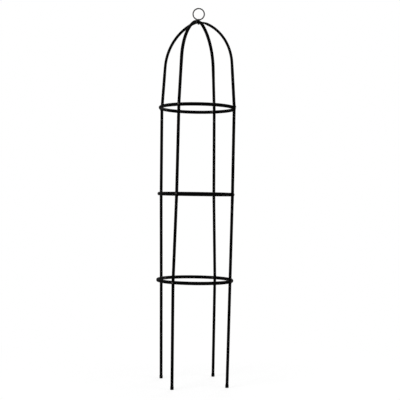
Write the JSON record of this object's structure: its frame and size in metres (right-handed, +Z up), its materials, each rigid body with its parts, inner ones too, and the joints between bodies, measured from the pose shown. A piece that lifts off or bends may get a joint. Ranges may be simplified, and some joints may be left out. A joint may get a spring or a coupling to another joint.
{
  "type": "rose pillar",
  "caption": "Tall round plant support of thin black tube: legs that meet in crossed arches under a hanging ring, tied together by horizontal rings inside them.",
  "frame": {"origin": "on the ground, on the upright axis that the rings share", "axes": "+Z up; -Y is the front, as in the picture; +X to the right as seen from the front, along the line that the hanging ring swings about"},
  "size_m": [0.4054, 0.4054, 1.969],
  "materials": {
    "black_coat": "satin black powder coat",
    "foot_plastic": "matte black",
    "blackened_steel": "blackened, satin",
    "zinc_steel": "dark, dull zinc"
  },
  "bodies": {
    "pillar": {"back_left_foot_cap": "foot_plastic", "back_left_lower_leg": "black_coat", "back_left_middle_leg": "black_coat", "back_left_upper_leg": "black_coat", "back_right_foot_cap": "foot_plastic", "back_right_lower_leg": "black_coat", "back_right_middle_leg": "black_coat", "back_right_upper_leg": "black_coat", "eye_bolt": "black_coat", "eye_bolt_nut": "black_coat", "eye_bolt_washer": "black_coat", "front_left_foot_cap": "foot_plastic", "front_left_lower_leg": "black_coat", "front_left_middle_leg": "black_coat", "front_left_upper_leg": "black_coat", "front_right_foot_cap": "foot_plastic", "front_right_lower_leg": "black_coat", "front_right_middle_leg": "black_coat", "front_right_upper_leg": "black_coat", "lower_ring": "black_coat", "lower_ring_bolt_back_left": "blackened_steel", "lower_ring_bolt_back_right": "blackened_steel", "lower_ring_bolt_front_left": "blackened_steel", "lower_ring_bolt_front_right": "blackened_steel", "lower_ring_nut_back_left": "blackened_steel", "lower_ring_nut_back_right": "blackened_steel", "lower_ring_nut_front_left": "blackened_steel", "lower_ring_nut_front_right": "blackened_steel", "middle_ring": "black_coat", "middle_ring_bolt_back_left": "blackened_steel", "middle_ring_bolt_back_right": "blackened_steel", "middle_ring_bolt_front_left": "blackened_steel", "middle_ring_bolt_front_right": "blackened_steel", "middle_ring_nut_back_left": "blackened_steel", "middle_ring_nut_back_right": "blackened_steel", "middle_ring_nut_front_left": "blackened_steel", "middle_ring_nut_front_right": "blackened_steel", "over_arch": "black_coat", "under_arch": "black_coat", "upper_ring": "black_coat", "upper_ring_bolt_back_left": "blackened_steel", "upper_ring_bolt_back_right": "blackened_steel", "upper_ring_bolt_front_left": "blackened_steel", "upper_ring_bolt_front_right": "blackened_steel", "upper_ring_nut_back_left": "blackened_steel", "upper_ring_nut_back_right": "blackened_steel", "upper_ring_nut_front_left": "blackened_steel", "upper_ring_nut_front_right": "blackened_steel"},
    "top_ring": {"hanging_ring": "zinc_steel"}
  },
  "joints": [
    {"name": "top_ring_swing", "type": "hinge", "parent": "pillar", "child": "top_ring", "pos_m": [0, 0, 1.90653], "axis": [1, 0, 0], "range_deg": [-100, 100]}
  ]
}
